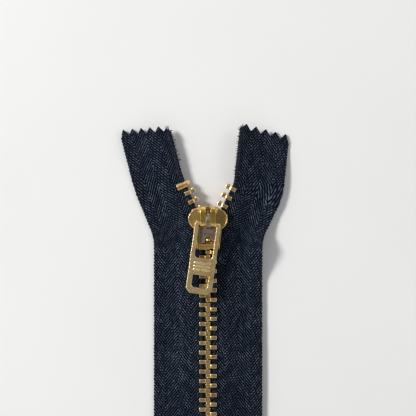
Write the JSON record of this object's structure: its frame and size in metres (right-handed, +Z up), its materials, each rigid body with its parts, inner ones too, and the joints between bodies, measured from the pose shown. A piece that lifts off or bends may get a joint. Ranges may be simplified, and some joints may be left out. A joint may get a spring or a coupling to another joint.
{
  "type": "zipper",
  "caption": "Metal trouser zipper: two woven tapes with clamped teeth, a locking slider, a windowed pull tab and end stops.",
  "frame": {"origin": "middle of the bounding box in X and Y, on the surface that the back of the tapes lies on", "axes": "+Y along the chain towards the slider and the top end, +X to the wearer's view right with the face up, +Z up out of the face"},
  "size_m": [0.0453, 0.186, 0.0072],
  "materials": {
    "brass": "worn rolled brass with bright edges",
    "dull_brass": "dull toned spring brass",
    "tape": "navy herringbone twill",
    "cord": "navy woven cord"
  },
  "bodies": {
    "base": {"bottom_stop": "brass", "left_tail_tape": "tape", "left_tail_cord": "cord", "right_tail_tape": "tape", "right_tail_cord": "cord"},
    "left_stringer": {"left_tape": "tape", "left_cord": "cord", "left_teeth_1": "brass", "left_teeth_2": "brass", "left_teeth_3": "brass", "left_teeth_4": "brass", "left_throat_teeth": "brass"},
    "left_top": {"left_top_tape": "tape", "left_top_cord": "cord", "left_mouth_teeth": "brass", "left_open_tooth_1": "brass", "left_open_tooth_2": "brass", "left_open_tooth_3": "brass", "top_stop": "brass"},
    "right_stringer": {"right_tape": "tape", "right_cord": "cord", "right_teeth_1": "brass", "right_teeth_2": "brass", "right_teeth_3": "brass", "right_teeth_4": "brass", "right_throat_teeth": "brass"},
    "right_top": {"right_top_tape": "tape", "right_top_cord": "cord", "right_mouth_teeth": "brass", "right_open_tooth_1": "brass", "right_open_tooth_2": "brass", "right_open_tooth_3": "brass"},
    "slider": {"slider_body": "brass"},
    "pull": {"pull_tab": "brass"},
    "lock": {"lock_spring": "dull_brass"}
  },
  "joints": [
    {"name": "slider_travel", "type": "slide", "parent": "base", "child": "slider", "axis": [0, -1, 0], "range_m": [0, 0.132], "deforming": ["left_tape", "left_top_tape", "left_cord", "left_top_cord", "right_tape", "right_top_tape", "right_cord", "right_top_cord", "left_teeth_1", "left_teeth_2", "left_teeth_3", "left_teeth_4", "right_teeth_1", "right_teeth_2", "right_teeth_3", "right_teeth_4", "left_throat_teeth", "right_throat_teeth"]},
    {"name": "left_spread", "type": "hinge", "parent": "base", "child": "left_stringer", "pos_m": [-0.0016, -0.07328, 0.00225], "axis": [0, 0, 1], "range_deg": [0, 8]},
    {"name": "right_spread", "type": "hinge", "parent": "base", "child": "right_stringer", "pos_m": [0.0016, -0.07328, 0.00225], "axis": [0, 0, -1], "range_deg": [0, 8]},
    {"name": "left_straighten", "type": "hinge", "parent": "left_stringer", "child": "left_top", "pos_m": [-0.00208, 0.06508, 0.00225], "axis": [0, 0, -1], "range_deg": [0, 16]},
    {"name": "right_straighten", "type": "hinge", "parent": "right_stringer", "child": "right_top", "pos_m": [0.00217, 0.06504, 0.00225], "axis": [0, 0, 1], "range_deg": [0, 20]},
    {"name": "pull_swing", "type": "hinge", "parent": "slider", "child": "pull", "pos_m": [0, 0.06638, 0.00555], "axis": [-0.9903, 0.1392, 0], "range_deg": [0, 140]},
    {"name": "lock_lift", "type": "hinge", "parent": "slider", "child": "lock", "pos_m": [0, 0.0694, 0.0049], "axis": [-1, 0, 0], "range_deg": [0, 4.5]}
  ],
  "couplings": [
    {"joint": "left_spread", "follows": "slider_travel", "rad_per_m": 1.057},
    {"joint": "right_spread", "follows": "slider_travel", "rad_per_m": 1.057},
    {"joint": "left_straighten", "follows": "slider_travel", "rad_per_m": 2.115},
    {"joint": "right_straighten", "follows": "slider_travel", "rad_per_m": 2.644},
    {"joint": "lock_lift", "follows": "pull_swing", "ratio": 0.0321}
  ]
}
